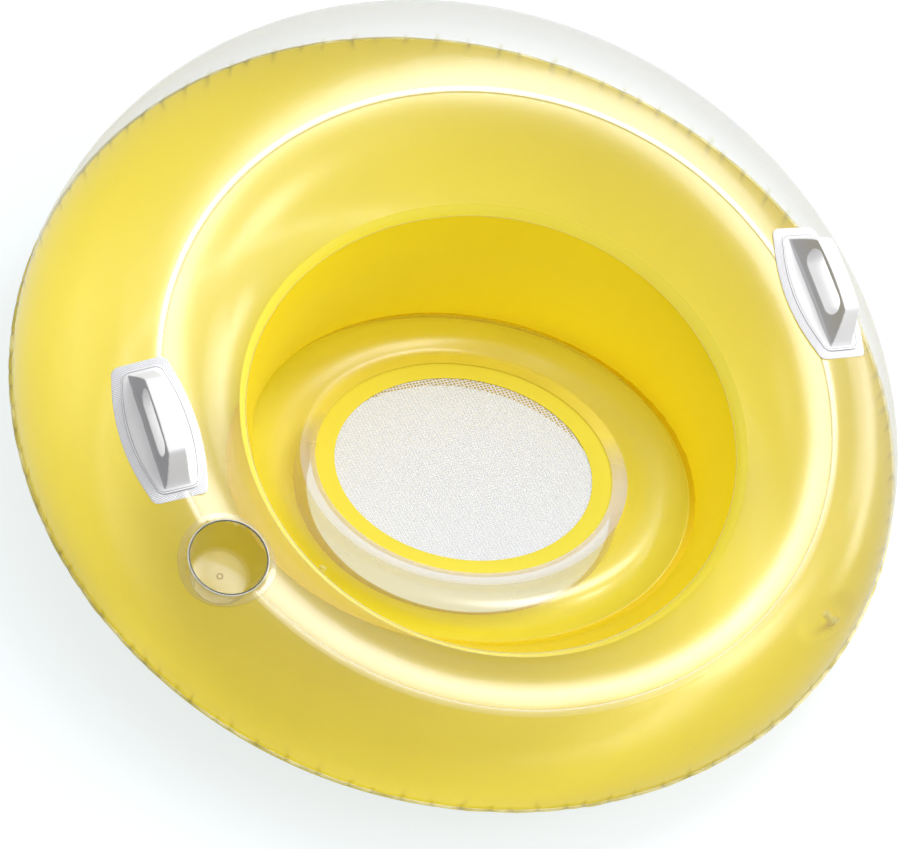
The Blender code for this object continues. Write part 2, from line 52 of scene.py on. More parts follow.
# Main ring
RING_RADIUS = 0.595
FRONT_TUBE_RADIUS = 0.107
BACK_TUBE_RADIUS = 0.197
SEAM_DROP = math.radians(5)
SEAM_FLANGE = 0.004
SEAM_TUCK = 0.012
TUCK_END = math.radians(-80)
FLOOR_STRIP = 0.030
CREST_SHIFT = math.radians(-1.5)
CREST_SWING = math.radians(17)
CREST_LAP = 0.010
LAP_RAMP = 0.018
LAP_LIFT = 0.0005
LAP_END_LIFT = 0.0001
CREST_RIDGE = 0.0004
CREST_RIDGE_REACH = 0.012
EDGE_LINE = 0.0007
RIM_RISE = math.radians(34)
RIM_SWING = math.radians(10)
RIM_LAP = 0.018
# Pressed lines of the rim's weld: (share of its width, height)
RIM_LINES = ((0.07, -0.0002), (0.16, 0.0), (0.5, 0.0001), (0.84, 0.0), (0.93, -0.0002), (1.0, 0.0))
WALL_BOW_RADIUS = 0.22
# Shape of the belly between the floor and the seat ring's weld
BELLY_FIRST_PULL = 0.5
BELLY_LAST_PULL = 0.12
BELLY_LAST_LIFT = 0.45

# Seat ring
SEAT_SHIFT = 0.055
SEAT_HEIGHT = 0.070
SEAT_SLOPE = math.tan(math.radians(11.5))
SEAT_OUTER_RADIUS = 0.312
SEAT_INNER_RADIUS = 0.217
SEAT_RISE = 0.022
SEAT_BACK_WALL = 0.040
SEAT_FRONT_WALL = 0.072
SEAT_CROWN = 0.026
SEAT_BACK_BELLY = 0.003
SEAT_FRONT_BELLY = 0.014
WELD_LIP = 0.008
HEM_BACK_LIP = 0.030
HEM_FRONT_LIP = 0.005
LIP_CLEARANCE = 0.0015
STRIP_WIDTH = 0.020
STRIP_PRESSED = 0.0002
FLANGE_WIDTH = 0.032
FLANGE_LAP = 0.006
FLANGE_DROP = 0.002
NET_LAP = 0.016
NET_SAG = 0.0015
NET_PITCH = 0.0048

# Handles
RIGHT_HANDLE_TURN = math.radians(-85)
RIGHT_HANDLE_LEAN = math.radians(6)
LEFT_HANDLE_TURN = math.radians(87.8)
LEFT_HANDLE_LEAN = math.radians(14.8)
PATCH_LENGTH = 0.196
PATCH_END_WIDTH = 0.070
PATCH_MIDDLE_WIDTH = 0.104
PATCH_CORNER = 0.012
PATCH_BORDER = 0.010
DIMPLE_PITCH = 0.0038
# From the edge to the middle of the patch and of its pad: (way in from the outline, height)
PATCH_STEPS = ((0.0, -0.0003), (0.0006, 0.0), (0.004, 0.0), (0.008, 0.0), (0.0105, 0.0),
               (0.02, 0.0), (0.03, 0.0))
PAD_STEPS = ((0.0002, -0.0002), (0.0008, 0.0003), (0.0020, 0.0003), (0.0024, -0.0006),
             (0.0034, -0.0006), (0.0040, 0.0), (0.010, 0.0), (0.018, 0.0), (0.026, 0.0))
# Rings of the pad painted a darker grey, as shade in its groove and on its outer step
PAD_GROOVES = (0, 4)
PAD_SINK = 0.0002
GRIP_END_CLEARANCE = 0.006
GRIP_LENGTH = PATCH_LENGTH - 2 * (PATCH_BORDER + GRIP_END_CLEARANCE)
GRIP_TOP_LENGTH = 0.104
GRIP_FOOT_WIDTH = 0.034
GRIP_TOP_WIDTH = 0.024
GRIP_HEIGHT = 0.054
GRIP_CROWN = 0.004
GRIP_END_HEIGHT = 0.0022
GRIP_SINK = 0.001
GRIP_FLARE = 0.0035
GRIP_FLARE_HEIGHT = 0.0022
GRIP_VOXEL = 0.0010
GRIP_SMOOTHINGS = 8
SLOT_LENGTH = 0.094
SLOT_HEIGHT = 0.032
SLOT_TOP_WALL = 0.007

# Cup holder
CUP_TURN = math.radians(-61.9)
CUP_LEAN = math.radians(8.6)
CUP_RADIUS = 0.050
CUP_BASE_RADIUS = 0.0405
CUP_DEPTH = 0.066
CUP_COLLAR = 0.005
CUP_COLLAR_WALL = 0.0022
CUP_COLLAR_FILLET = 0.003
CUP_COLLAR_ROUND = 0.002
CUP_WALL = 0.0004
CUP_WALL_EDGE = 0.001
CUP_WALL_TOP = 0.004
CUP_WALL_FOOT = 0.003
CUP_FLANGE_RADIUS = 0.064
# The cup's flange, in from its edge, and the fillet under its collar: (distance, height)
CUP_FLANGE_STEPS = ((0.0, 0.0005), (0.0003, 2 * STEP), (0.006, 2 * STEP))
CUP_FILLET_STEPS = ((CUP_COLLAR_FILLET, 2 * STEP), (0.0008, 2 * STEP + 0.001))
# The corner of the cup's floor, in from its wall: (distance, height)
CUP_CORNER_STEPS = ((0.001, 0.0012), (0.003, 0.0003), (0.006, 0.0))
# The middle of the cup's floor: (radius, height)
CUP_FLOOR_STEPS = ((0.020, 0.0008), (0.006, 0.001), (0.0004, 0.001))
CUP_HOLE_RADIUS = CUP_RADIUS + 0.004
CUP_HOLE_DEPTH = 0.04
# Round beads of the cup: (radius of the ring, height, half width, half height)
CUP_RIM = (CUP_RADIUS + 0.0008, CUP_COLLAR - 0.0012, 0.0009, 0.0013)
CUP_BEAD = (CUP_RADIUS + 0.0023, CUP_COLLAR - 0.0016, 0.0008, 0.0009)
CUP_GATE = (0.0036, CUP_COLLAR - CUP_DEPTH + 0.0016, 0.0008, 0.0007)

# Valves: the middle of each flange, the way out of the chamber, and the flat round it
MAIN_VALVE = (Vector((0.423942, -0.37185, 0.043477)), Vector((0.587694, -0.481944, -0.649881)))
SEAT_VALVE = (Vector((-0.24181, -0.161859, 0.06001)), Vector((-0.41245, -0.316653, -0.854176)))
VALVE_FLAT = 0.020
VALVE_REACH = 0.050
VALVE_SINK = 0.0004
VALVE_SOCKET = 0.0085
VALVE_DEPTH = 0.03
SOCKET_DEPTH = 0.01

# Fineness of the sheets
SEAM_TURNS = 960
WALL_TURNS = 640
TURNS = 320
WALL_STEPS = 26
SMOOTH_ANGLE = math.radians(50)

# Gathers along two welds: spacing, depth, length and width, each from the least to the most
SEAM_GATHERS = ((0.022, 0.048), (0.0014, 0.0042), (0.016, 0.040), (0.0032, 0.0060))
WALL_GATHERS = ((0.020, 0.045), (0.0006, 0.0016), (0.012, 0.026), (0.0050, 0.0090))
GATHER_SKEW = 0.35
GATHER_RISE = 0.35
GATHER_REACH = 0.03
# Distances from the seam of the rows of points that its gathers move
SEAM_REACHES = (0.0, 0.002, 0.0045, 0.008, 0.012, 0.017, 0.023, 0.030, 0.040)
EDGE_DIP = 0.25
EDGE_DIP_REACH = 0.010
# Waves of the seam's flange: (height, waves in a turn, phase)
EDGE_WAVES = ((0.0005, 41, 0), (0.0004, 67, 1))
# The part of a gather's length and width that gets the painted shade of a fold
FOLD_SHADE_REACH = 0.55
FOLD_SHADE_WIDTH = 0.55

# Finishes
WAVE_SCALE = 9.0
GRAIN_SCALE = 420.0
FILM_SHINE = 0.048
GRAZING_SHINE = 0.55
WIDE_SHARE = 0.42
WIDE_ROUGHNESS = 0.40
# Painted shade in the seam's gathers: a darker tint for the clear film and a darker yellow
FOLD_PAINTED_SHADE_TINT = (0.68, 0.64, 0.36)
FOLD_PAINTED_SHADE_YELLOW = (0.52, 0.44, 0.02, 1)
NET_WHITE = (0.69, 0.70, 0.76, 1)
NET_GAP = (0.55, 0.70)
# Painted shade: the grey of the grips' faces that turn away from the lamps
GRIP_PAINTED_SHADE = (0.45, 0.45, 0.46, 1)
# Painted shade: the grey of the hollows of a patch's pressed weave
WEAVE_PAINTED_SHADE = (0.70, 0.70, 0.75, 1)
# Painted shade: the way, in world axes, of the grips' faces that are painted grey
PAINTED_SHADE_WAY = Vector((-0.94, -0.34, 0.0))
STRIP_WAY = Vector((0.369, 0.929, 0.0))

# Floor, sky and lamps
FLOOR_SIZE = 40.0
FLOOR_DROP = 0.0005
FLOOR_LIFT = 0.76
FLOOR_GLOW = (0.93, 1.0, 1.025, 1)
FLOOR_COLOUR = (0.275, 0.265, 0.275, 1)
SKY_LIGHT = 0.65
SKY_SWING = 0.24
SKY_SIDE = (0.75, 0.30, 0.59)
LAMP_DISTANCE = 7.0
LAMP_TARGET = Vector((0, 0, 0.15))

# Camera
IMAGE_WIDTH = 904
CAMERA_TARGET = Vector((-0.0133, -0.0172, 0.14))
CAMERA_DISTANCE = 10.0
CAMERA_AZIMUTH = math.radians(-35.272)
CAMERA_ELEVATION = math.radians(52.428)
CAMERA_ROLL = math.radians(18.498)
CAMERA_FOCUS = 7592.8
SENSOR_WIDTH = 36.0

TAU = 2 * math.pi


def mix(start, end, share):
    return start + (end - start) * share


def smooth(low, high, value):
    share = min(max((value - low) / (high - low), 0.0), 1.0)
    return share * share * (3 - 2 * share)


# Node trees

class Tree:
    """A material's or world's nodes, added one call at a time."""

    def __init__(self, holder):
        holder.use_nodes = True
        self.nodes = holder.node_tree.nodes
        self.links = holder.node_tree.links
        self.nodes.clear()

    def feed(self, socket, value):
        if isinstance(value, bpy.types.NodeSocket):
            self.links.new(value, socket)
        else:
            socket.default_value = value

    def add(self, kind, inputs=(), **settings):
        node = self.nodes.new(kind)
        for name, value in settings.items():
            setattr(node, name, value)
        for name, value in dict(inputs).items():
            self.feed(node.inputs[name], value)
        return node

    def math(self, operation, *values, clamp=False):
        inputs = dict(enumerate(values))
        return self.add("ShaderNodeMath", inputs, operation=operation, use_clamp=clamp).outputs[0]

    def dot(self, first, second):
        found = self.add("ShaderNodeVectorMath", {0: first, 1: second}, operation="DOT_PRODUCT")
        return found.outputs["Value"]

    def blend(self, share, first, second):
        node = self.add("ShaderNodeMix", data_type="RGBA")
        for name, value in {"Factor": share, "A": first, "B": second}.items():
            self.feed([s for s in node.inputs if s.name == name and s.enabled][0], value)
        return [s for s in node.outputs if s.enabled][0]

    def mix(self, share, first, second):
        inputs = {0: share, 1: first.outputs[0], 2: second.outputs[0]}
        return self.add("ShaderNodeMixShader", inputs)

    def span(self, value, low, high, to_low, to_high):
        inputs = {"Value": value, "From Min": low, "From Max": high, "To Min": to_low,
                  "To Max": to_high}
        return self.add("ShaderNodeMapRange", inputs).outputs[0]

    def place(self, kind="Object"):
        return self.add("ShaderNodeTexCoord").outputs[kind]

    def noise(self, scale, detail=2.0, roughness=0.5):
        inputs = {"Vector": self.place(), "Scale": scale, "Detail": detail,
                  "Roughness": roughness}
        return self.add("ShaderNodeTexNoise", inputs).outputs["Fac"]

    def ribs(self, rate):
        """Sine waves along the object's own X and along its Y."""
        axes = self.add("ShaderNodeSeparateXYZ", {"Vector": self.place()})
        return [self.math("SINE", self.math("MULTIPLY", axes.outputs[k], rate)) for k in (0, 1)]

    def along(self, way):
        """How far a point lies along a direction from its object's origin."""
        return self.dot(self.place(), way)

    def facing(self, **inputs):
        """How far a face is turned from the ray that meets it, from 0 to 1."""
        inputs = {"Blend": 0.5, **inputs}
        return self.add("ShaderNodeLayerWeight", inputs).outputs["Facing"]

    def seen(self):
        """1 for rays from the camera, also by way of gloss or through film, and else 0."""
        path = self.add("ShaderNodeLightPath")
        total = self.math("ADD", path.outputs["Is Camera Ray"], path.outputs["Is Glossy Ray"])
        return self.math("ADD", total, path.outputs["Is Transmission Ray"], clamp=True)

    def fold(self):
        """Depth of a gather, from 0 to 1, as the mesh holds it, which sets the painted shade of its
        fold.
        """
        return self.add("ShaderNodeAttribute", attribute_name="fold").outputs["Fac"]

    def bump(self, height, distance, strength=1.0):
        inputs = {"Height": height, "Distance": distance, "Strength": strength}
        return self.add("ShaderNodeBump", inputs).outputs[0]

    def finish(self, shader, kind="ShaderNodeOutputMaterial"):
        self.add(kind, {"Surface": shader.outputs[0]})


def new_look(name):
    look = bpy.data.materials.new(name)
    return look, Tree(look)


def film_waves(tree, depth=0.0022):
    """Slow waves and a fine grain of pressed film, as one bump."""
    slow = tree.noise(WAVE_SCALE, 2.0, 0.45)
    fine = tree.noise(GRAIN_SCALE, 1.0)
    height = tree.math("MULTIPLY_ADD", fine, 0.006, slow)
    return tree.bump(height, depth, 0.5)


def shine_of(tree, normal, straight, grazing):
    """Share of light mirrored by a thin film, the same from both of its faces."""
    return tree.span(tree.math("POWER", tree.facing(Normal=normal), 4.0), 0, 1, straight, grazing)


def clear_film(name, haze, edge_haze, tint, edge_tint, gloss_roughness=0.23,
               milk_colour=(0.90, 0.90, 0.89), fold_shade_tint=None, fading=None):
    """Clear vinyl film: lets light through, with a milky haze and a gloss that grow aslant.

    haze and tint hold straight on, edge_haze and edge_tint aslant. The fold tint paints shade into
    the gathers. fading gives a direction and the two places along it between which the haze fades
    out.
    """
    look, tree = new_look(name)
    waves = film_waves(tree)
    aslant = tree.math("POWER", tree.facing(), 1.3)
    cloud = tree.span(tree.noise(5.0, 3.0), 0.3, 0.7, 0.85, 1.15)
    if fading:
        left = tree.span(tree.along(fading[0]), *fading[1:], 1.0, 0.0)
        cloud = tree.math("MULTIPLY", cloud, left)
    shown_tint = tree.blend(aslant, (*tint, 1), (*edge_tint, 1))
    # Painted shade in the seam's gathers
    if fold_shade_tint:
        shown_tint = tree.blend(tree.fold(), shown_tint, (*fold_shade_tint, 1))
    through = tree.add("ShaderNodeBsdfTransparent", {"Color": shown_tint})
    milk = tree.add("ShaderNodeBsdfPrincipled", {
        "Base Color": (*milk_colour, 1), "Roughness": 0.35, "Normal": waves})
    share = tree.math("MULTIPLY", tree.span(aslant, 0, 1, haze, edge_haze), cloud)
    body = tree.mix(share, through, milk)
    tight, wide = [tree.add("ShaderNodeBsdfGlossy", {
        "Color": (1, 1, 1, 1), "Roughness": roughness, "Normal": waves})
        for roughness in (gloss_roughness, WIDE_ROUGHNESS)]
    gloss = tree.mix(WIDE_SHARE, tight, wide)
    tree.finish(tree.mix(shine_of(tree, waves, FILM_SHINE, GRAZING_SHINE), body, gloss))
    return look


def yellow_film(name, light, deep, glow=0.12, depth=0.0010, held=0.0, gloss=0.2):
    """Yellow vinyl film: a little uneven, with a painted shade in its gathers, and lit through from
    behind.

    glow is the share of light that comes through. held is a painted glow: light that the film emits
    to lift its shade.
    """
    look, tree = new_look(name)
    waves = film_waves(tree, depth)
    cloud = tree.span(tree.noise(6.0, 3.0), 0.3, 0.7, 0, 1)
    colour = tree.blend(cloud, (*light, 1), (*deep, 1))
    # Painted shade in the seam's gathers
    colour = tree.blend(tree.fold(), colour, FOLD_PAINTED_SHADE_YELLOW)
    roughness = tree.span(tree.noise(30.0, 2.0), 0.3, 0.7, 0.34, 0.44)
    # Painted glow: the emission, as strong as held, lifts the film's shade
    skin = tree.add("ShaderNodeBsdfPrincipled", {
        "Base Color": colour, "Roughness": roughness, "Normal": waves,
        "Specular IOR Level": gloss, "Emission Color": colour, "Emission Strength": held})
    back = tree.add("ShaderNodeBsdfTranslucent", {"Color": colour, "Normal": waves})
    tree.finish(tree.mix(glow, skin, back))
    return look


def net_look():
    """White woven net: round strands both ways, with a small open gap in each cell."""
    look, tree = new_look("net_weave")
    across, along = [tree.math("ABSOLUTE", rib) for rib in tree.ribs(math.pi / NET_PITCH)]
    gap = tree.math("MINIMUM", across, along)
    cover = tree.span(gap, *NET_GAP, 1.0, 0.0)
    height = tree.math("SUBTRACT", 1.0, gap)
    cloth = tree.add("ShaderNodeBsdfPrincipled", {
        "Base Color": NET_WHITE, "Roughness": 0.6, "Sheen Weight": 0.1,
        "Normal": tree.bump(height, 0.0006, 0.8)})
    through = tree.add("ShaderNodeBsdfTransparent", {"Color": (1, 1, 1, 1)})
    tree.finish(tree.mix(cover, through, cloth))
    return look


def white_vinyl(name, dimple=0.0, roughness=0.42, tone=1.0, painted_shade_way=None):
    """White moulded vinyl. dimple is the depth of the pressed weave of a patch's border, whose
    hollows get a painted shade.

    Faces that look along the way given for the painted shade, in the object's own axes, are greyer:
    a painted shade on the side that the lamps miss.
    """
    look, tree = new_look(name)
    grain = tree.noise(900.0, 2.0)
    cloud = tree.span(tree.noise(25.0, 2.0), 0.3, 0.7, 0, 1)
    light = (0.84 * tone, 0.84 * tone, 0.85 * tone, 1)
    deep = (0.81 * tone, 0.81 * tone, 0.825 * tone, 1)
    colour = tree.blend(cloud, light, deep)
    if painted_shade_way:
        # Painted shade: faces turned along the given way blend towards grey
        share = tree.span(tree.dot(tree.place("Normal"), painted_shade_way), 0.25, 0.85, 0.0, 1.0)
        colour = tree.blend(share, colour, GRIP_PAINTED_SHADE)
    if dimple:
        weave = tree.math("MULTIPLY", *tree.ribs(TAU / DIMPLE_PITCH))
        height = tree.math("MULTIPLY_ADD", grain, 0.2, weave)
        normal = tree.bump(height, dimple, 1.0)
        # Painted shade in the hollows of the pressed weave
        colour = tree.blend(tree.span(weave, -0.5, 0.5, 0.8, 0), colour, WEAVE_PAINTED_SHADE)
    else:
        normal = tree.bump(grain, 0.0002, 0.4)
    skin = tree.add("ShaderNodeBsdfPrincipled", {
        "Base Color": colour, "Roughness": roughness, "Normal": normal})
    tree.finish(skin)
    return look


# Sections of the sheets, as the solids have them

def tube_radius(turn):
    middle = (BACK_TUBE_RADIUS + FRONT_TUBE_RADIUS) / 2
    swing = (BACK_TUBE_RADIUS - FRONT_TUBE_RADIUS) / 2
    return middle - swing * math.cos(turn)


def tube_centre(turn):
    radius = tube_radius(turn)
    return Vector((RING_RADIUS - radius, radius + SHEET / 2))


def on_tube(turn, angle, lift=0.0):
    reach = tube_radius(turn) + lift
    return tube_centre(turn) + reach * Vector((math.cos(angle), math.sin(angle)))


def crest_angle(turn):
    return math.pi / 2 + CREST_SHIFT - CREST_SWING * math.cos(turn)


def rim_angle(turn):
    return math.pi - RIM_RISE - RIM_SWING * math.cos(turn)


def in_world(point, turn):
    return Vector((point.x * math.sin(turn), -point.x * math.cos(turn), point.y))


def arc_points(start, end, bow, steps):
    """Points after start on a shallow arc to end, raised by bow to the left of the way."""
    way = end - start
    side = Vector((-way.y, way.x)).normalized()
    shares = [k / steps for k in range(1, steps + 1)]
    return [mix(start, end, s) + side * (4 * bow * s * (1 - s)) for s in shares]


def seat_point(turn, radius, lift):
    across = SEAT_SHIFT * math.sin(turn)
    reach = SEAT_SHIFT * math.cos(turn) + math.sqrt(radius ** 2 - across ** 2)
    height = SEAT_HEIGHT + SEAT_SLOPE * (reach * math.cos(turn) - SEAT_SHIFT)
    return Vector((reach, height + lift))


# Puckers

class Puckers:
    """Small gathers along a weld: sharp dips that fade with the distance from it."""

    def __init__(self, seed, radius, spacing, depth, length, width):
        draw = random.Random(seed)
        self.folds = []
        turn = 0.0
        while turn < TAU - spacing[0] / radius:
            fold = (turn, draw.uniform(*depth), draw.uniform(*length), draw.uniform(*width),
                    draw.uniform(-GATHER_SKEW, GATHER_SKEW))
            self.folds.append(fold)
            turn += draw.uniform(*spacing) / radius
        self.radius = radius

    def near(self, turn):
        found = []
        for fold in self.folds:
            away = (turn - fold[0] + math.pi) % TAU - math.pi
            if abs(away) * self.radius < GATHER_REACH:
                found.append((away * self.radius, *fold[1:]))
        return found

    def dip(self, found, reach):
        """How far the sheet is drawn in at a reach from the weld."""
        total = 0.0
        for away, depth, length, width, skew in found:
            if reach < length:
                fade = (1 - reach / length) ** 1.5
                side = (away + skew * reach) / (width * (0.5 + 0.5 * fade))
                rise = GATHER_RISE * math.exp(-side * side / 6)
                total += depth * fade * (math.exp(-side * side) - rise)
        return total

    def press(self, found, reach):
        """How deep in a gather a place is, from 0 to 1, for the painted shade of its fold."""
        deepest = 0.0
        for away, depth, length, width, skew in found:
            reached = length * FOLD_SHADE_REACH
            if reach < reached:
                side = (away + skew * reach) / (width * FOLD_SHADE_WIDTH)
                deepest = max(deepest, (1 - reach / reached) * math.exp(-side * side))
        return deepest


seam_puckers = Puckers(11, RING_RADIUS, *SEAM_GATHERS)
wall_puckers = Puckers(23, SEAT_OUTER_RADIUS, *WALL_GATHERS)


# Sheets

def add_object(name, data):
    thing = bpy.data.objects.new(name, data)
    bpy.context.collection.objects.link(thing)
    return thing


def mesh_of(bm, name):
    """Turns a closed bmesh into a mesh, with its faces outward."""
    bmesh.ops.recalc_face_normals(bm, faces=bm.faces)
    mesh = bpy.data.meshes.new(name)
    bm.to_mesh(mesh)
    bm.free()
    return mesh


def as_object(name, vertices, faces, looks, marks=None, folds=None):
    """A smooth mesh object from points and faces.

    marks gives each face's place in looks, and folds the depth of the gathers at each point, which
    sets their painted shade.
    """
    mesh = bpy.data.meshes.new(name)
    mesh.from_pydata(vertices, [], faces)
    for look in looks:
        mesh.materials.append(look)
    if marks:
        mesh.polygons.foreach_set("material_index", marks)
    if folds:
        mesh.attributes.new("fold", "FLOAT", "POINT").data.foreach_set("value", folds)
    mesh.shade_smooth()
    mesh.set_sharp_from_angle(angle=SMOOTH_ANGLE)
    return add_object(name, mesh)


def place(thing, body, slot, *nodes):
    """Let a piece ride on its body and stand for its nodes. slot is not used."""
    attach(thing, body)
    if nodes:
        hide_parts(*nodes)
    return thing


def ring_sheet(name, section, turns, looks, out=1, marked=None, puckers=None, folded=False):
    """A sheet swept round the ring. The section gives its points from the outside in.

    marked gives the look of single strips by their place in the section, and puckers moves a
    row of points by the gathers. A folded sheet also keeps the depth of the seam's gathers for
    their painted shade.
    """
    marked = marked or {}
    vertices = []
    faces = []
    marks = []
    folds = []
    for k in range(turns):
        turn = TAU * k / turns
        row = section(turn)
        if puckers:
            row = puckers(turn, row)
        vertices += [in_world(point, turn) for point in row]
        if folded:
            folds += seam_folds(turn, len(row))
    size = len(vertices) // turns
    for k in range(turns):
        here = k * size
        there = (k + 1) % turns * size
        for i in range(size - 1):
            face = (here + i, there + i, there + i + 1, here + i + 1)
            faces.append(face[::out])
            marks.append(marked.get(i, marked.get(i - size + 1, 0)))
    return as_object(name, vertices, faces, looks, marks, folds)


def seam_rows(turn, side):
    """Angles close to the outer seam, above it or below it."""
    radius = tube_radius(turn)
    first = side * (STEP / 2) / radius - SEAM_DROP
    return [first + side * reach / radius for reach in SEAM_REACHES]


def seam_folds(turn, count):
    """Depth of the seam's gathers at the points of a row, for the painted shade of their folds."""
    found = seam_puckers.near(turn)
    near = [seam_puckers.press(found, reach) for reach in (0.0, *SEAM_REACHES)]
    return near + [0.0] * (count - len(near))


def drawn_in(count):
    """Moves the first points of a row in by the seam's puckers, and waves its flange."""
    def move(turn, row):
        found = seam_puckers.near(turn)
        centre = tube_centre(turn)
        moved = []
        for k, point in enumerate(row):
            if k <= count:
                reach = SEAM_REACHES[max(k - 1, 0)]
                inward = (centre - point).normalized()
                held = mix(EDGE_DIP, 1.0, smooth(0.0, EDGE_DIP_REACH, reach))
                point = point + inward * (held * seam_puckers.dip(found, reach))
            moved.append(point)
        wave = sum(height * math.sin(rate * turn + phase) for height, rate, phase in EDGE_WAVES)
        moved[0] = moved[0] + Vector((0, wave))
        return moved
    return move


def crest_ridge(turn, angle):
    """How far the sheets stand up to a blunt ridge where they meet in the crest weld."""
    away = abs(angle - crest_angle(turn)) * tube_radius(turn)
    return CREST_RIDGE * math.exp(-away / CREST_RIDGE_REACH)


def on_crown(turn, angle, lift=0.0):
    return on_tube(turn, angle, lift + crest_ridge(turn, angle))


def outer_top_section(turn):
    angles = seam_rows(turn, 1)
    radius = tube_radius(turn)
    lap_start = crest_angle(turn) - CREST_LAP / 2 / radius
    lap_end = crest_angle(turn) + CREST_LAP / 2 / radius
    ramp = lap_start - LAP_RAMP / radius
    steps = 18
    first = angles[-1]
    angles += [mix(first, ramp, (k / steps) ** 0.8) for k in range(1, steps + 1)]
    points = [on_tube(turn, angles[0], SEAM_FLANGE)]
    points += [on_crown(turn, angle) for angle in angles]
    for share in (0.2, 0.4, 0.6, 0.8):
        points.append(on_crown(turn, mix(ramp, lap_start, share), LAP_LIFT * smooth(0, 1, share)))
    for share in (0, 0.25, 0.5, 0.7):
        points.append(on_crown(turn, mix(lap_start, lap_end, share), LAP_LIFT))
    points.append(on_crown(turn, lap_end - EDGE_LINE / radius, LAP_LIFT))
    points.append(on_crown(turn, lap_end, LAP_END_LIFT))
    return points


def inner_top_section(turn):
    radius = tube_radius(turn)
    start = crest_angle(turn) - CREST_LAP / 2 / radius
    rim = rim_angle(turn)
    weld = rim - RIM_LAP / radius
    steps = 16
    angles = [mix(start, weld, (k / steps) ** 1.3) for k in range(steps + 1)]
    points = [on_crown(turn, angle) for angle in angles]
    points += [on_tube(turn, mix(weld, rim, share), lift) for share, lift in RIM_LINES]
    points.append(on_tube(turn, rim, -STEP))
    return points


def wall_section(turn):
    radius = tube_radius(turn)
    rim = rim_angle(turn)
    under = rim - RIM_LAP / radius
    upper = [on_tube(turn, mix(under, rim, s), -STEP) for s in (0, 0.33, 0.67, 1)]
    foot = seat_point(turn, SEAT_OUTER_RADIUS, 1.5 * STEP)
    bow = (foot - upper[-1]).length ** 2 / (8 * WALL_BOW_RADIUS)
    lip = seat_point(turn, SEAT_OUTER_RADIUS - WELD_LIP, 1.5 * STEP)
    return upper + arc_points(upper[-1], foot, -bow, WALL_STEPS) + [lip]


def wall_drawn_in(turn, row):
    """Draws the wall in where it is gathered into the seat ring's weld."""
    found = wall_puckers.near(turn)
    foot = row[-2]
    moved = []
    for k, point in enumerate(row):
        reach = (point - foot).length
        if k >= 4:
            point = point + Vector((wall_puckers.dip(found, reach), 0))
        moved.append(point)
    return moved


def lower_section(turn):
    radius = tube_radius(turn)
    angles = seam_rows(turn, -1)
    last = -math.pi / 2 + FLOOR_STRIP / radius
    steps = 18
    angles += [mix(angles[-1], last, k / steps) for k in range(1, steps + 1)]
    centre = tube_centre(turn)
    points = [on_tube(turn, angles[0], SEAM_FLANGE)]
    for angle in angles:
        share = min((angles[0] - angle) / (angles[0] - TUCK_END), 1.0)
        points.append(on_tube(turn, angle, -SEAM_TUCK * math.sin(math.pi * share)))
    strip_start = Vector((centre.x + FLOOR_STRIP / 2, SHEET / 2))
    strip_end = Vector((centre.x - FLOOR_STRIP / 2, SHEET / 2))
    foot = seat_point(turn, SEAT_OUTER_RADIUS, -1.5 * STEP)
    lip = seat_point(turn, SEAT_OUTER_RADIUS - WELD_LIP, -1.5 * STEP)
    run = strip_end.x - foot.x
    first_pull = strip_end - Vector((BELLY_FIRST_PULL * run, 0.0))
    last_pull = Vector((foot.x + BELLY_LAST_PULL * run, mix(SHEET / 2, foot.y, BELLY_LAST_LIFT)))
    belly = []
    steps = 14
    for k in range(1, steps + 1):
        s = k / steps
        point = strip_end * (1 - s) ** 3 + first_pull * (3 * s * (1 - s) ** 2)
        belly.append(point + last_pull * (3 * s ** 2 * (1 - s)) + foot * s ** 3)
    return points + [strip_start, strip_end] + belly + [lip]


def seat_top_section(turn):
    edge = seat_point(turn, SEAT_OUTER_RADIUS, STEP / 2)
    root = seat_point(turn, SEAT_OUTER_RADIUS - WELD_LIP - LIP_CLEARANCE, STEP / 2)
    crown = seat_point(turn, SEAT_INNER_RADIUS, SEAT_RISE + STEP / 2)
    middle = seat_point(turn, SEAT_INNER_RADIUS - STRIP_WIDTH / 2, SEAT_RISE + STRIP_PRESSED)
    lip = seat_point(turn, SEAT_INNER_RADIUS - STRIP_WIDTH, SEAT_RISE + STEP / 2)
    end = seat_point(turn, SEAT_INNER_RADIUS - STRIP_WIDTH, SEAT_RISE - STEP / 2)
    return [edge, root] + arc_points(root, crown, -SEAT_CROWN, 20) + [middle, lip, end]


def seat_hem_lift(turn):
    share = (1 + math.cos(turn)) / 2
    return SEAT_RISE - mix(SEAT_BACK_WALL, SEAT_FRONT_WALL, share)


def seat_hem_radius(turn):
    share = (1 + math.cos(turn)) / 2
    return SEAT_INNER_RADIUS - mix(HEM_BACK_LIP, HEM_FRONT_LIP, share)


def seat_wall_section(turn):
    top = SEAT_RISE - STEP / 2
    bottom = seat_hem_lift(turn) + STEP / 2
    start = seat_point(turn, SEAT_INNER_RADIUS, top)
    end = seat_point(turn, SEAT_INNER_RADIUS, bottom)
    points = [seat_point(turn, SEAT_INNER_RADIUS - STRIP_WIDTH, top), start]
    points += arc_points(start, end, 0.0, 6)
    return points + [seat_point(turn, seat_hem_radius(turn), bottom)]


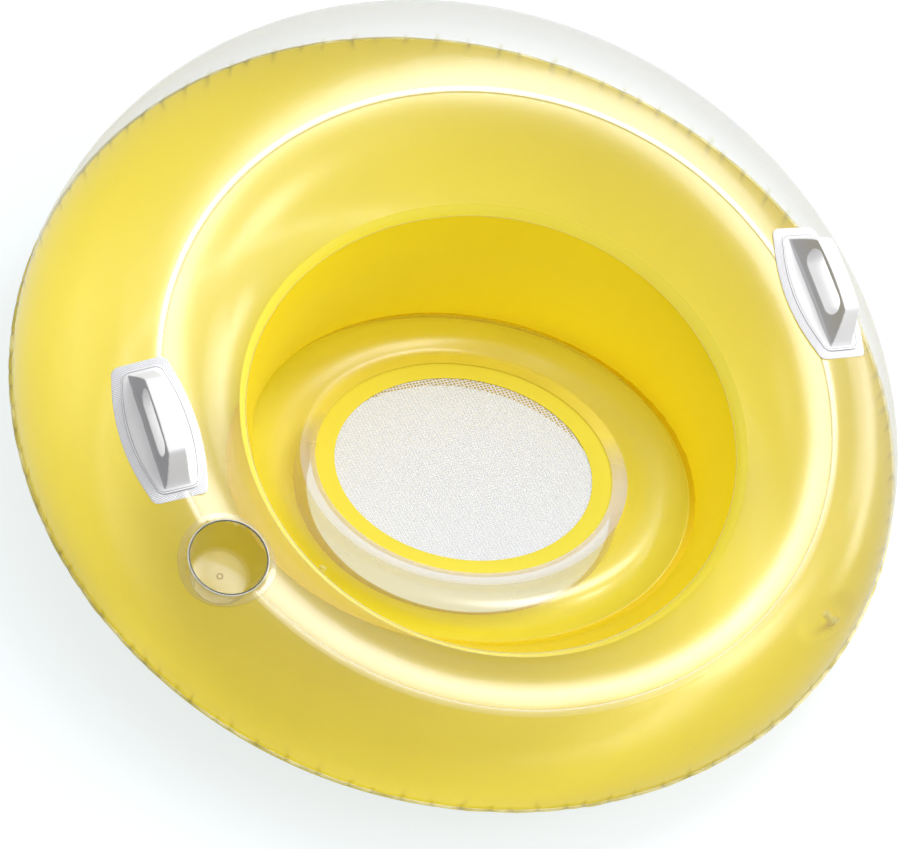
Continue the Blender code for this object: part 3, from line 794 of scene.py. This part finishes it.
def seat_belly_section(turn):
    bottom = seat_hem_lift(turn) - STEP / 2
    share = (1 + math.cos(turn)) / 2
    belly = mix(SEAT_BACK_BELLY, SEAT_FRONT_BELLY, share)
    edge = seat_point(turn, SEAT_OUTER_RADIUS, -STEP / 2)
    root = seat_point(turn, SEAT_OUTER_RADIUS - WELD_LIP - LIP_CLEARANCE, -STEP / 2)
    hem = seat_point(turn, SEAT_INNER_RADIUS, bottom)
    lip = seat_point(turn, seat_hem_radius(turn), bottom)
    return [edge, root] + arc_points(root, hem, belly, 14) + [lip]


def flange_inner_radius():
    return SEAT_INNER_RADIUS - STRIP_WIDTH + FLANGE_LAP - FLANGE_WIDTH


def flange_section(turn):
    lift = SEAT_RISE - 1.5 * STEP
    outer = SEAT_INNER_RADIUS - STRIP_WIDTH + FLANGE_LAP
    inner = flange_inner_radius()
    points = []
    for k in range(7):
        share = k / 6
        points.append(seat_point(turn, mix(outer, inner, share), lift - FLANGE_DROP * share ** 1.3))
    points.append(seat_point(turn, inner, lift - FLANGE_DROP - SHEET))
    return points


# Pieces on the crown

def crown_point(turn, lean, lift=0.0):
    return in_world(on_tube(turn, math.pi / 2 - lean, lift), turn)


def crown_frame(turn, lean):
    """Axes on the crown: X along the tube, Y across it and Z straight out of it."""
    small = 0.001
    along = crown_point(turn + small, lean) - crown_point(turn - small, lean)
    across = crown_point(turn, lean - small) - crown_point(turn, lean + small)
    out = along.cross(across).normalized()
    along.normalize()
    across = out.cross(along)
    axes = Matrix((along, across, out)).transposed().to_4x4()
    return Matrix.Translation(crown_point(turn, lean)) @ axes


class Crown:
    """The crown round one place, as a height over that place's own X and Y."""

    def __init__(self, turn, lean):
        self.turn = turn
        self.lean = lean
        self.frame = crown_frame(turn, lean)
        self.inverse = self.frame.inverted()

    def at(self, x, y, lift=0.0):
        """The point of the crown over (x, y), in the place's own axes."""
        turn = self.turn + x / (RING_RADIUS - tube_radius(self.turn))
        lean = self.lean - y / tube_radius(self.turn)
        for _ in range(8):
            found = self.inverse @ crown_point(turn, lean, lift)
            turn += (x - found.x) / (RING_RADIUS - tube_radius(turn))
            lean -= (y - found.y) / tube_radius(turn)
        return self.inverse @ crown_point(turn, lean, lift)


def patch_outline(border, steps=12):
    """Barrel-shaped outline of a handle's patch with round corners, drawn in by a border."""
    half = PATCH_LENGTH / 2 - border
    middle = PATCH_MIDDLE_WIDTH / 2 - border
    end = PATCH_END_WIDTH / 2 - border
    corner = PATCH_CORNER
    sweep = half - corner
    side = []
    for k in range(steps + 1):
        x = mix(-sweep, sweep, k / steps)
        side.append((x, mix(middle, end, (x / half) ** 2)))
    turn_height = side[-1][1]
    round_end = []
    for k in range(1, 7):
        angle = math.pi / 2 * (1 - k / 6)
        x = sweep + corner * math.cos(angle)
        round_end.append((x, turn_height - corner * (1 - math.sin(angle))))
    right = side + round_end
    left = [(-x, y) for x, y in reversed(round_end)]
    top = left + right
    return top + [(x, -y) for x, y in reversed(top)]


def plate(name, crown, outline, rims, looks, marked=()):
    """A thin plate on the crown.

    rims gives (how far in from the outline, lift) from edge to middle, and marked the rings
    between them that have the second look.
    """
    vertices = []
    faces = []
    marks = []
    count = len(outline)
    for inset, lift in rims:
        for x, y in outline:
            length = math.hypot(x, y)
            share = max(1 - inset / length, 0.0)
            vertices.append(crown.at(x * share, y * share, lift))
    for ring in range(len(rims) - 1):
        for k in range(count):
            j = (k + 1) % count
            low = ring * count
            high = low + count
            faces.append((low + k, high + k, high + j, low + j))
            marks.append(1 if ring in marked else 0)
    last = (len(rims) - 1) * count
    vertices.append(crown.at(0, 0, rims[-1][1]))
    for k in range(count):
        faces.append((last + k, len(vertices) - 1, last + (k + 1) % count))
        marks.append(0)
    thing = as_object(name, vertices, faces, looks, marks)
    thing.matrix_world = crown.frame
    return thing


def grip_top(x):
    """Height of the grip's arch over its length: sloping ends and a softly crowned top."""
    foot = GRIP_LENGTH / 2
    shoulder = GRIP_TOP_LENGTH / 2
    if abs(x) < shoulder:
        return GRIP_HEIGHT - GRIP_CROWN * (x / shoulder) ** 2
    share = (abs(x) - shoulder) / (foot - shoulder)
    return max(0.0, (GRIP_HEIGHT - GRIP_CROWN) * (1 - share ** 1.15))


def grip_bar(name, crown, look):
    """The grip's bar in closed cross-sections from foot to foot, before it is cut and rounded."""
    bm = bmesh.new()
    stations = 64
    levels = 9
    rows = []
    for k in range(stations + 1):
        x = mix(-GRIP_LENGTH / 2, GRIP_LENGTH / 2, k / stations)
        top = max(grip_top(x), GRIP_END_HEIGHT)
        row = []
        for side in (-1, 1):
            part = []
            for i in range(levels + 1):
                share = i / levels
                half = mix(GRIP_FOOT_WIDTH, GRIP_TOP_WIDTH, share * top / GRIP_HEIGHT) / 2
                base = crown.at(x, side * half, 3 * STEP - GRIP_SINK).z
                height = mix(base, top, share)
                flare = GRIP_FLARE * math.exp(-(height - base) / GRIP_FLARE_HEIGHT)
                part.append(bm.verts.new((x, side * (half + flare), height)))
            row += part if side < 0 else part[::-1]
        rows.append(row)
    for low, high in zip(rows, rows[1:]):
        for i in range(len(low)):
            j = (i + 1) % len(low)
            bm.faces.new((low[i], high[i], high[j], low[j]))
    bm.faces.new(rows[0])
    bm.faces.new(rows[-1][::-1])
    mesh = mesh_of(bm, name)
    mesh.materials.append(look)
    return add_object(name, mesh)


def slot_cutter():
    """The round-ended finger slot as a bar through the grip."""
    bm = bmesh.new()
    radius = SLOT_HEIGHT / 2
    straight = SLOT_LENGTH / 2 - radius
    centre = GRIP_HEIGHT - SLOT_TOP_WALL - radius
    corners = []
    for side in (1, -1):
        for k in range(17):
            angle = side * math.pi / 2 - math.pi * k / 16
            x = side * straight + radius * math.cos(angle)
            corners.append((x, -GRIP_FOOT_WIDTH, centre + radius * math.sin(angle)))
    base = bm.faces.new([bm.verts.new(corner) for corner in corners])
    grown = bmesh.ops.extrude_face_region(bm, geom=[base])
    ends = [item for item in grown["geom"] if isinstance(item, bmesh.types.BMVert)]
    bmesh.ops.translate(bm, vec=(0, 2 * GRIP_FOOT_WIDTH, 0), verts=ends)
    return add_object("slot", mesh_of(bm, "slot"))


def apply_modifiers(thing):
    shaped = thing.evaluated_get(bpy.context.evaluated_depsgraph_get())
    mesh = bpy.data.meshes.new_from_object(shaped)
    thing.modifiers.clear()
    thing.data = mesh


def rounded(thing, voxel, rounds):
    """Remesh a closed piece and soften it, as moulded vinyl has no sharp edge."""
    remesh = thing.modifiers.new("remesh", "REMESH")
    remesh.mode = "VOXEL"
    remesh.voxel_size = voxel
    soften = thing.modifiers.new("soften", "SMOOTH")
    soften.factor = 0.5
    soften.iterations = rounds
    apply_modifiers(thing)
    thing.data.shade_smooth()


def handle(side, turn, lean, border_look, smooth_look, groove_shade_look):
    """Textured patch, smooth pad and moulded grip of one handle."""
    crown = Crown(turn, lean)
    top = 2 * STEP + SHEET / 2
    rims = [(0.0, 1.5 * STEP)] + [(inset, top + rise) for inset, rise in PATCH_STEPS]
    patch = plate(side + "_patch", crown, patch_outline(0.0), rims, [border_look])
    place(patch, "chair", "white_handle", side + "_handle_patch")

    face = 3 * STEP + SHEET / 2
    rims = [(0.0, top - PAD_SINK)] + [(inset, face + rise) for inset, rise in PAD_STEPS]
    pad = plate(side + "_pad", crown, patch_outline(PATCH_BORDER), rims,
                [smooth_look, groove_shade_look], PAD_GROOVES)

    # Painted shade on the grip's side away from the lamps, as a way in the grip's own axes
    painted_shade_local_way = crown.frame.to_3x3().inverted() @ PAINTED_SHADE_WAY
    grip_look = white_vinyl(side + "_grip_vinyl_painted_shade", painted_shade_way=tuple(painted_shade_local_way))
    grip = grip_bar(side + "_grip", crown, grip_look)
    cutter = slot_cutter()
    carve = grip.modifiers.new("slot", "BOOLEAN")
    carve.object = cutter
    carve.operation = "DIFFERENCE"
    carve.solver = "EXACT"
    apply_modifiers(grip)
    bpy.data.objects.remove(cutter)
    rounded(grip, GRIP_VOXEL, GRIP_SMOOTHINGS)
    grip.matrix_world = crown.frame
    place(grip, "chair", "white_handle", side + "_handle_grip")
    place(pad, "chair", "white_handle")


def turned_rows(rows, count=96):
    """Points of rings of (radius, height), where height may be a function of the angle."""
    vertices = []
    for radius, height in rows:
        for k in range(count):
            angle = TAU * k / count
            high = height(angle) if callable(height) else height
            vertices.append((radius * math.cos(angle), radius * math.sin(angle), high))
    faces = []
    for ring in range(len(rows) - 1):
        for k in range(count):
            j = (k + 1) % count
            low = ring * count
            faces.append((low + k, low + count + k, low + count + j, low + j))
    return vertices, faces


def bead_rows(radius, height, half_width, half_height, steps=12):
    """Rows of a ring with a round section."""
    angles = [TAU * k / steps for k in range(steps + 1)]
    return [(radius + half_width * math.cos(a), height + half_height * math.sin(a)) for a in angles]


def cup(film_look, rim_reflection_look, bead_highlight_look, gate_look):
    """Clear moulded cup: flange on the crown, collar, rolled rim, tapered wall and floor."""
    crown = Crown(CUP_TURN, CUP_LEAN)
    top = CUP_COLLAR
    floor = top - CUP_DEPTH

    def part(name, rows, look, count=96, nodes=()):
        vertices, faces = turned_rows(rows, count)
        thing = as_object(name, vertices, faces, [look])
        thing.matrix_world = crown.frame
        place(thing, "chair", "clear_cup", *nodes)

    def over_crown(radius, lift):
        def height(angle):
            return crown.at(radius * math.cos(angle), radius * math.sin(angle), lift).z
        return radius, height

    collar = CUP_RADIUS + CUP_COLLAR_WALL
    collar_foot = over_crown(collar, 2 * STEP + CUP_COLLAR_FILLET)[1]
    rows = [over_crown(CUP_FLANGE_RADIUS - inset, lift) for inset, lift in CUP_FLANGE_STEPS]
    rows += [over_crown(collar + outset, lift) for outset, lift in CUP_FILLET_STEPS]
    for share in (0.25, 0.6, 1.0):
        def height(angle, share=share):
            return mix(collar_foot(angle), top - CUP_COLLAR_ROUND, share)
        rows.append((collar, height))
    part("cup_collar", rows, film_look)

    rows = [(CUP_RADIUS, top - CUP_WALL_EDGE)]
    for k in range(9):
        radius = mix(CUP_RADIUS - CUP_WALL, CUP_BASE_RADIUS, k / 8)
        rows.append((radius, mix(top - CUP_WALL_TOP, floor + CUP_WALL_FOOT, k / 8)))
    rows += [(CUP_BASE_RADIUS - inset, floor + lift) for inset, lift in CUP_CORNER_STEPS]
    rows += [(radius, floor + lift) for radius, lift in CUP_FLOOR_STEPS]
    part("cup_well", rows, film_look, nodes=["cup_holder"])

    # The rim's dark tint is a painted reflection
    part("cup_rim", bead_rows(*CUP_RIM), rim_reflection_look)
    # The bead's milky white is a painted highlight
    part("cup_bead_painted_highlight", bead_rows(*CUP_BEAD), bead_highlight_look)
    part("cup_gate_mark", bead_rows(*CUP_GATE), gate_look, 32)
    return crown


def cut_hole(thing, crown, radius):
    """Takes the round hole for the cup out of a clear sheet."""
    bm = bmesh.new()
    bm.from_mesh(thing.data)
    gone = []
    for face in bm.faces:
        middle = crown.inverse @ face.calc_center_median()
        if abs(middle.z) < CUP_HOLE_DEPTH and math.hypot(middle.x, middle.y) < radius:
            gone.append(face)
    bmesh.ops.delete(bm, geom=gone, context="FACES")
    bm.to_mesh(thing.data)
    bm.free()


def flattened(thing, centre, out):
    """Draws a sheet flat under a valve's flange and opens it under the valve's socket."""
    out = out.normalized()
    bm = bmesh.new()
    bm.from_mesh(thing.data)
    for vertex in bm.verts:
        way = vertex.co - centre
        height = way.dot(out)
        reach = (way - out * height).length
        if reach < VALVE_REACH and abs(height) < VALVE_DEPTH:
            share = 1 - smooth(VALVE_FLAT, VALVE_REACH, reach)
            vertex.co -= out * ((height + VALVE_SINK) * share)
    gone = []
    for face in bm.faces:
        way = face.calc_center_median() - centre
        height = way.dot(out)
        if abs(height) < SOCKET_DEPTH and (way - out * height).length < VALVE_SOCKET:
            gone.append(face)
    bmesh.ops.delete(bm, geom=gone, context="FACES")
    bm.to_mesh(thing.data)
    bm.free()


def net(look):
    """The woven floor: a flat disc in the seat ring's sloping plane, with a slight sag."""
    radius = flange_inner_radius() + NET_LAP
    rings = 24
    count = 128
    vertices = [Vector((0, 0, -NET_SAG))]
    faces = []
    for ring in range(1, rings + 1):
        share = ring / rings
        for k in range(count):
            angle = TAU * k / count
            sag = -NET_SAG * (1 - share ** 2)
            vertices.append(Vector((radius * share * math.cos(angle),
                                    radius * share * math.sin(angle), sag)))
    for k in range(count):
        j = (k + 1) % count
        faces.append((0, 1 + k, 1 + j))
        for ring in range(rings - 1):
            low = 1 + ring * count
            high = low + count
            faces.append((low + k, high + k, high + j, low + j))
    thing = as_object("woven_net", vertices, faces, [look])
    lift = SEAT_RISE - 2.5 * STEP - FLANGE_DROP
    slope = Matrix.Rotation(-math.atan(SEAT_SLOPE), 4, "X")
    thing.matrix_world = Matrix.Translation((0, -SEAT_SHIFT, SEAT_HEIGHT + lift)) @ slope
    place(thing, "chair", "white_net", "seat_net")


# Materials and pieces

clear = clear_film("clear_vinyl_film", 0.012, 0.08, (0.98, 0.98, 0.975), (0.78, 0.785, 0.81),
                   fold_shade_tint=FOLD_PAINTED_SHADE_TINT)
seat_clear = clear_film("seat_clear_film", 0.015, 0.10, (0.98, 0.98, 0.97), (0.88, 0.88, 0.86))
seat_strip = clear_film("seat_strip_film", 0.38, 0.46, (0.97, 0.96, 0.97), (0.90, 0.89, 0.90), 0.3,
                        (0.73, 0.70, 0.70), fading=(STRIP_WAY, -0.06, 0.03))
strip_yellow = clear_film("seat_strip_under_film", 0.80, 0.85, (0.97, 0.93, 0.80),
                          (0.93, 0.86, 0.64), 0.4, (0.90, 0.77, 0.035),
                          fading=(-STRIP_WAY, -0.03, 0.06))
seat_wall_clear = clear_film("seat_wall_film", 0.16, 0.24, (0.95, 0.88, 0.66), (0.93, 0.86, 0.64),
                             0.3, (0.84, 0.78, 0.58))
clear_edge = clear_film("clear_film_edge", 0.20, 0.35, (0.84, 0.81, 0.70), (0.7, 0.68, 0.6))
lap_edge = clear_film("crest_lap_edge", 0.20, 0.30, (0.70, 0.67, 0.46), (0.60, 0.57, 0.40), 0.4,
                      (0.50, 0.47, 0.24))
seam_edge = clear_film("seam_weld_edge", 0.16, 0.24, (0.74, 0.72, 0.50), (0.66, 0.64, 0.44), 0.4,
                       (0.50, 0.47, 0.22))
# Partly painted shade: the cup's film is tinted a warm grey, which darkens the cup's inside as
# shade would, over the clear vinyl's own slight tint
cup_film_tint_and_shade = clear_film("cup_film_tint_and_shade", 0.08, 0.16, (0.85, 0.82, 0.71), (0.68, 0.67, 0.62), 0.20,
                      (0.78, 0.72, 0.52))
# Painted highlight: the milky white bead outside the rim stands in for a bright line of light
cup_bead_painted_highlight = clear_film("cup_bead_painted_highlight", 0.45, 0.6, (0.96, 0.96, 0.95), (0.9, 0.9, 0.9), 0.12)
# Painted reflection: the clear rim is tinted dark blue-grey for the dark reflections in its rolled
# edge
cup_rim = clear_film("cup_rim_painted_reflection", 0.02, 0.04, (0.30, 0.34, 0.42), (0.20, 0.24, 0.32), 0.1)
cup_gate = clear_film("cup_gate_edge", 0.05, 0.10, (0.72, 0.62, 0.46), (0.62, 0.54, 0.40), 0.2)
lower_yellow = yellow_film("yellow_lower_film", (0.90, 0.77, 0.030), (0.88, 0.75, 0.026))
# Painted glow: the rim's lap emits light to lift the shade between the sheets
rim_yellow = yellow_film("yellow_rim_film_painted_glow", (0.93, 0.80, 0.030), (0.91, 0.78, 0.026), 0.05,
                         held=0.15)
# Partly painted light: the wall's gold, deeper than the lower sheet's yellow, stands in for light
# bounced between the yellow sheets
wall_yellow = yellow_film("yellow_wall_film_painted_bounce", (0.90, 0.72, 0.020), (0.89, 0.70, 0.017), 0.45)
flange_yellow = yellow_film("yellow_flange_film", (0.86, 0.75, 0.07), (0.84, 0.73, 0.06))
# Painted glow: the seat's belly emits light to lift the shade under the seat ring
seat_yellow = yellow_film("yellow_seat_film_painted_glow", (0.90, 0.77, 0.030), (0.88, 0.75, 0.026), held=0.16)
woven = net_look()
# Painted shade: the hollows of the border's pressed weave are greyer
border_white = white_vinyl("patch_dimpled_vinyl_painted_shade", 0.0004, 0.5)
smooth_white = white_vinyl("handle_smooth_vinyl")
# Painted shade: the pad's groove and outer step take a darker grey, as shade in a recess
groove_painted_shade = white_vinyl("pad_groove_painted_shade", 0.0, 0.6, 0.45)
soft_white = clear_film("valve_soft_vinyl", 0.85, 0.92, (0.97, 0.94, 0.75), (0.93, 0.90, 0.70),
                        0.3, (0.92, 0.84, 0.26))

gathered = drawn_in(len(SEAM_REACHES))
outer_sheet = ring_sheet("clear_outer_sheet", outer_top_section, SEAM_TURNS,
                         [clear, lap_edge, seam_edge], 1, {0: 2, -1: 1, -2: 1}, gathered, True)
place(outer_sheet, "chair", "clear_vinyl", "outer_top_sheet")
inner_sheet = ring_sheet("clear_inner_sheet", inner_top_section, TURNS, [clear, clear_edge],
                         1, {-1: 1})
place(inner_sheet, "chair", "clear_vinyl", "inner_top_sheet")
wall = ring_sheet("yellow_wall", wall_section, WALL_TURNS, [wall_yellow, rim_yellow], 1,
                  {0: 1, 1: 1, 2: 1}, wall_drawn_in)
place(wall, "chair", "yellow_vinyl", "inner_wall_sheet")
lower = ring_sheet("yellow_lower", lower_section, SEAM_TURNS, [lower_yellow], -1, None,
                   gathered, True)
place(lower, "chair", "yellow_vinyl", "lower_sheet")
flattened(lower, *MAIN_VALVE)
seat_top = ring_sheet("seat_clear_top", seat_top_section, TURNS, [seat_clear, seat_strip], 1,
                      {-1: 1, -2: 1, -3: 1})
place(seat_top, "chair", "clear_vinyl", "seat_top_sheet")
seat_wall = ring_sheet("seat_clear_wall", seat_wall_section, TURNS, [seat_wall_clear, strip_yellow],
                       1, {0: 1})
place(seat_wall, "chair", "clear_vinyl", "seat_wall_sheet")
seat_belly = ring_sheet("seat_yellow_belly", seat_belly_section, TURNS, [seat_yellow], -1)
place(seat_belly, "chair", "yellow_vinyl", "seat_lower_sheet")
flattened(seat_belly, *SEAT_VALVE)
band = ring_sheet("net_band", flange_section, TURNS, [flange_yellow], 1)
place(band, "chair", "yellow_vinyl", "net_flange")
net(woven)
cup_crown = cup(cup_film_tint_and_shade, cup_rim, cup_bead_painted_highlight, cup_gate)
for sheet in (outer_sheet, inner_sheet):
    cut_hole(sheet, cup_crown, CUP_HOLE_RADIUS)
handle("right", RIGHT_HANDLE_TURN, RIGHT_HANDLE_LEAN, border_white, smooth_white, groove_painted_shade)
handle("left", LEFT_HANDLE_TURN, LEFT_HANDLE_LEAN, border_white, smooth_white, groove_painted_shade)
for name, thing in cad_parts.items():
    if "_valve_" in name:
        thing.data.materials.clear()
        thing.data.materials.append(soft_white)


# Floor, light and camera

def studio_floor():
    """Plain white floor that shows white to the camera and keeps the chair's soft shadow."""
    look, tree = new_look("studio_floor")
    matt = tree.add("ShaderNodeBsdfDiffuse", {"Color": FLOOR_COLOUR})
    strength = tree.math("MULTIPLY", tree.seen(), FLOOR_LIFT)
    lift = tree.add("ShaderNodeEmission", {"Color": FLOOR_GLOW, "Strength": strength})
    tree.finish(tree.add("ShaderNodeAddShader", {0: matt.outputs[0], 1: lift.outputs[0]}))
    half = FLOOR_SIZE / 2
    corners = [(-half, -half, 0), (half, -half, 0), (half, half, 0), (-half, half, 0)]
    thing = as_object("studio_floor", corners, [(0, 1, 2, 3)], [look])
    thing.location.z = -FLOOR_DROP


def studio_world():
    """White sky to the camera, and a soft light that is stronger from one side."""
    world = bpy.context.scene.world or bpy.data.worlds.new("studio")
    bpy.context.scene.world = world
    tree = Tree(world)
    side = tree.dot(tree.place("Generated"), SKY_SIDE)
    light = tree.math("MULTIPLY_ADD", side, SKY_SWING, SKY_LIGHT)
    strength = tree.span(tree.seen(), 0, 1, light, 1.0)
    sky = tree.add("ShaderNodeBackground", {"Color": (1, 1, 1, 1), "Strength": strength})
    tree.finish(sky, "ShaderNodeOutputWorld")


def lamp(name, way, size, brightness, lights=True, mirrored=True):
    """A soft box off in one direction from the chair, of a width, a height and a brightness.

    lights says if it lights matt surfaces, mirrored if gloss shows it.
    """
    direction = Vector(way).normalized()
    data = bpy.data.lights.new(name, "AREA")
    data.shape = "RECTANGLE"
    data.size, data.size_y = size
    data.energy = brightness * math.pi * size[0] * size[1]
    thing = add_object(name, data)
    thing.location = LAMP_TARGET + direction * LAMP_DISTANCE
    thing.rotation_mode = "QUATERNION"
    thing.rotation_quaternion = (-direction).to_track_quat("-Z", "Y")
    thing.visible_diffuse = lights
    thing.visible_glossy = mirrored


def camera():
    data = bpy.data.cameras.new("camera")
    data.sensor_width = SENSOR_WIDTH
    data.lens = CAMERA_FOCUS / IMAGE_WIDTH * SENSOR_WIDTH
    data.clip_end = 100
    back = Vector((math.cos(CAMERA_ELEVATION) * math.sin(CAMERA_AZIMUTH),
                   -math.cos(CAMERA_ELEVATION) * math.cos(CAMERA_AZIMUTH),
                   math.sin(CAMERA_ELEVATION)))
    level = (-back).cross(Vector((0, 0, 1))).normalized()
    upright = level.cross(-back)
    right = level * math.cos(CAMERA_ROLL) + upright * math.sin(CAMERA_ROLL)
    up = -level * math.sin(CAMERA_ROLL) + upright * math.cos(CAMERA_ROLL)
    thing = add_object("camera", data)
    axes = Matrix((right, up, back)).transposed().to_4x4()
    thing.matrix_world = Matrix.Translation(CAMERA_TARGET + back * CAMERA_DISTANCE) @ axes
    bpy.context.scene.camera = thing


studio_floor()
studio_world()
lamp("key_box", (0.42, 0.20, 0.89), (2.4, 3.4), 7.2)
lamp("key_shine", (0.42, 0.20, 0.89), (2.2, 5.0), 10.5, lights=False)
lamp("far_glow", (0.36, 0.38, 0.85), (1.3, 3.0), 8.0, lights=False)
lamp("side_glow", (0.62, -0.30, 0.73), (1.4, 1.4), 14.0, lights=False)
lamp("right_strip", (0.98, 0.0, 0.22), (3.6, 1.4), 9.0)
lamp("right_shine", (0.90, 0.12, 0.42), (3.0, 1.6), 6.0, lights=False)
lamp("left_glow", (-0.25, 0.30, 0.92), (1.4, 1.4), 2.0)
lamp("front_fill", (0.50, -0.55, 0.67), (4.0, 4.0), 1.7, mirrored=False)
camera()
bpy.context.scene.view_settings.view_transform = "Standard"
